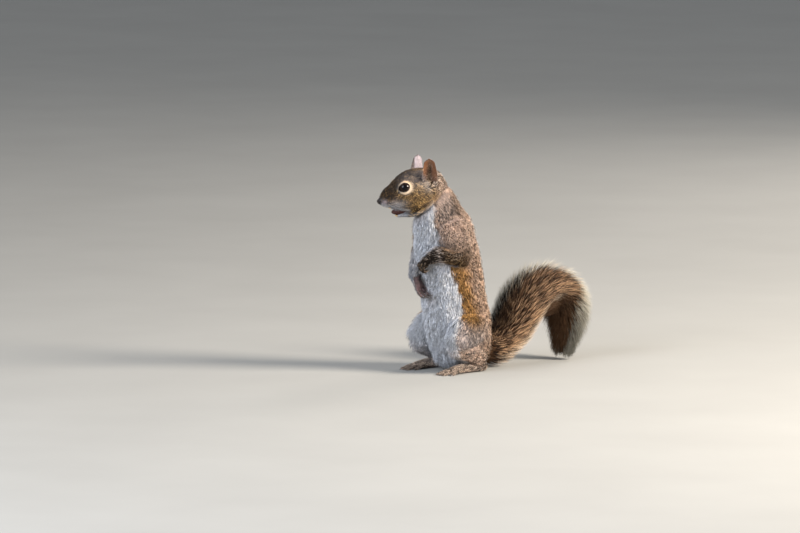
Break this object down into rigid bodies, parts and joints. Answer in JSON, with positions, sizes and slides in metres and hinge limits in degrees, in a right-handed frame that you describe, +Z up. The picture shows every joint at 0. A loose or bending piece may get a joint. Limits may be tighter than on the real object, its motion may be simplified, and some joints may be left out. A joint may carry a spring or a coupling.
{
  "type": "eastern grey squirrel, still model",
  "caption": "Life-size still squirrel standing upright on its hind feet, forepaws held low at the belly, bushy tail arched back to the floor.",
  "frame": {"origin": "on the floor under the middle of the animal's box", "axes": "+Z up, the animal faces -Y, +X is its left side"},
  "size_m": [0.0858, 0.2472, 0.2179],
  "materials": {
    "head_fur": "short olive-brown fur, speckled, paler on cheeks and lips",
    "grey_fur": "banded grey-brown fur",
    "dark_fur": "short dark grey-brown fur, dark claws",
    "body_fur": "grey-brown back, rust flanks, white chest and belly",
    "white_fur": "short pale fur round a dark mouth",
    "tail_fur": "long brown hair with black bands and white tips",
    "ear_skin": "thin skin with very short hair",
    "nose_skin": "bare dark skin",
    "eye": "wet gloss, nearly black"
  },
  "bodies": {
    "root": {"ear_left": "ear_skin", "ear_right": "ear_skin", "eye_left": "eye", "eye_right": "eye", "forearm_left": "dark_fur", "forearm_right": "dark_fur", "head": "head_fur", "hind_foot_left": "dark_fur", "hind_foot_right": "dark_fur", "jaw": "white_fur", "neck": "grey_fur", "nose": "nose_skin", "paw_left": "dark_fur", "paw_right": "dark_fur", "shank_left": "grey_fur", "shank_right": "grey_fur", "tail_arch": "tail_fur", "tail_base": "tail_fur", "tail_rise": "tail_fur", "tail_tip": "tail_fur", "thigh_left": "grey_fur", "thigh_right": "grey_fur", "trunk": "body_fur", "upper_arm_left": "grey_fur", "upper_arm_right": "grey_fur"}
  },
  "joints": []
}
